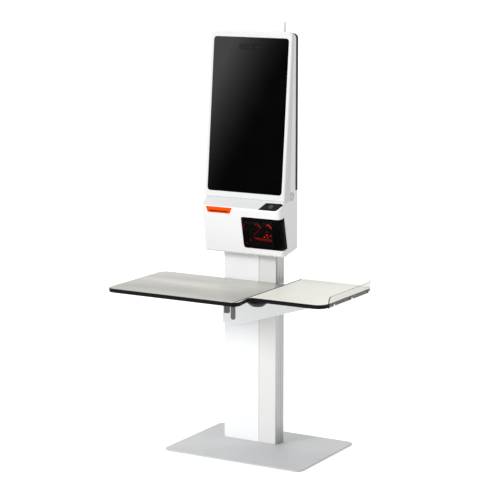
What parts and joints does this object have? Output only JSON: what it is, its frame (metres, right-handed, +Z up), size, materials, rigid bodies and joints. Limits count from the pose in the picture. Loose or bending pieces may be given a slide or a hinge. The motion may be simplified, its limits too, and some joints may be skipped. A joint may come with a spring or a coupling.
{
  "type": "touchscreen kiosk",
  "caption": "Free-standing self-service touchscreen kiosk: column on a flat base plate, leaning screen head with printer outlet and code scanner, stepped black-edged worktop with a clear guard.",
  "frame": {"origin": "centre of the base plate, at the floor, under the middle rubber pad", "axes": "+Z up; -Y faces the customer; +X to the customer's right, that is to the right in a front view"},
  "size_m": [0.875, 0.585, 1.695],
  "materials": {
    "black_shell": "fine spark texture",
    "dark_grey_plastic": "satin",
    "satin_steel": "fine satin",
    "zinc_steel": "zinc plated",
    "base_paint": "silver-grey fine texture powder coat",
    "lens": "polished",
    "black_plastic": "satin",
    "white_paint": "fine satin powder coat",
    "grey_paint": "fine satin powder coat",
    "side_aluminium": "anodised, grooved",
    "circuit_board": "solder mask",
    "gloss_black": "glossy",
    "screw_steel": "bright plated",
    "display": "black panel",
    "edge_band": "satin PVC band",
    "rubber": "matt",
    "white_shell": "smooth satin moulding",
    "clear_acrylic": "clear, polished edges",
    "diffuser": "milky translucent",
    "paper": "smooth",
    "orange_plastic": "glossy",
    "mirror": "polished",
    "scanner_glass": "polished smoked glass",
    "screen_glass": "polished black-backed glass",
    "cream_laminate": "satin laminate",
    "board": "raw particle board"
  },
  "bodies": {
    "stand": {"back_cover": "black_shell", "bag_hooks": "dark_grey_plastic", "bagging_plate": "satin_steel", "base_bolts": "zinc_steel", "base_plate": "base_paint", "camera_lenses": "lens", "camera_module": "black_plastic", "chassis_plate": "zinc_steel", "column_front_cover": "white_paint", "column_post": "zinc_steel", "column_rear_cover": "white_paint", "column_service_panel": "grey_paint", "column_side_left": "side_aluminium", "column_side_right": "side_aluminium", "cover_screws": "screw_steel", "display_frame": "zinc_steel", "display_module": "display", "edge_band": "edge_band", "floor_pads": "rubber", "front_bezel": "white_shell", "guard_screen": "clear_acrylic", "guard_screws": "screw_steel", "hinge_brackets": "zinc_steel", "hinge_pins": "zinc_steel", "lamp_base": "white_shell", "lamp_diffuser": "diffuser", "load_cell": "zinc_steel", "lock_escutcheon": "grey_paint", "main_board": "circuit_board", "paper_cutter": "screw_steel", "post_foot": "zinc_steel", "power_inlet": "black_plastic", "power_supply": "zinc_steel", "printer_frame": "dark_grey_plastic", "rear_shell": "white_shell", "scale_housing": "black_plastic", "scanner_engine": "dark_grey_plastic", "scanner_housing": "black_plastic", "scanner_mirrors": "mirror", "screen_glass": "screen_glass", "speakers": "black_plastic", "switch_bezel": "black_plastic", "table_arms": "white_paint", "table_bracket": "white_paint", "tray_laminate": "cream_laminate", "worktop_board": "board"},
    "service_door": {"service_door": "white_shell", "scanner_window": "scanner_glass", "printer_outlet": "orange_plastic", "contactless_pad": "gloss_black", "contactless_board": "circuit_board", "door_catch": "zinc_steel"},
    "lock": {"lock_barrel": "screw_steel", "lock_cam": "zinc_steel"},
    "paper": {"paper_roll": "paper", "paper_spindle": "dark_grey_plastic"},
    "platen": {"platen_roller": "rubber", "platen_shaft": "screw_steel", "platen_gear": "dark_grey_plastic"},
    "rocker": {"power_switch": "gloss_black"}
  },
  "joints": [
    {"name": "service_door_hinge", "type": "hinge", "parent": "stand", "child": "service_door", "pos_m": [-0.064, 0.028, 0.769], "axis": [1, 0, 0], "range_deg": [0, 70]},
    {"name": "lock_turn", "type": "hinge", "parent": "stand", "child": "lock", "pos_m": [0.111, 0.051, 0.985], "axis": [1, 0, 0], "range_deg": [0, 90]},
    {"name": "paper_roll_spin", "type": "hinge", "parent": "stand", "child": "paper", "pos_m": [-0.154, 0.014, 0.85], "axis": [1, 0, 0], "continuous": true},
    {"name": "platen_spin", "type": "hinge", "parent": "stand", "child": "platen", "pos_m": [-0.154, -0.016, 0.903], "axis": [1, 0, 0], "continuous": true},
    {"name": "rocker_tip", "type": "hinge", "parent": "stand", "child": "rocker", "pos_m": [-0.09, 0.095, 0.085], "axis": [1, 0, 0], "range_deg": [-16, 0]}
  ]
}
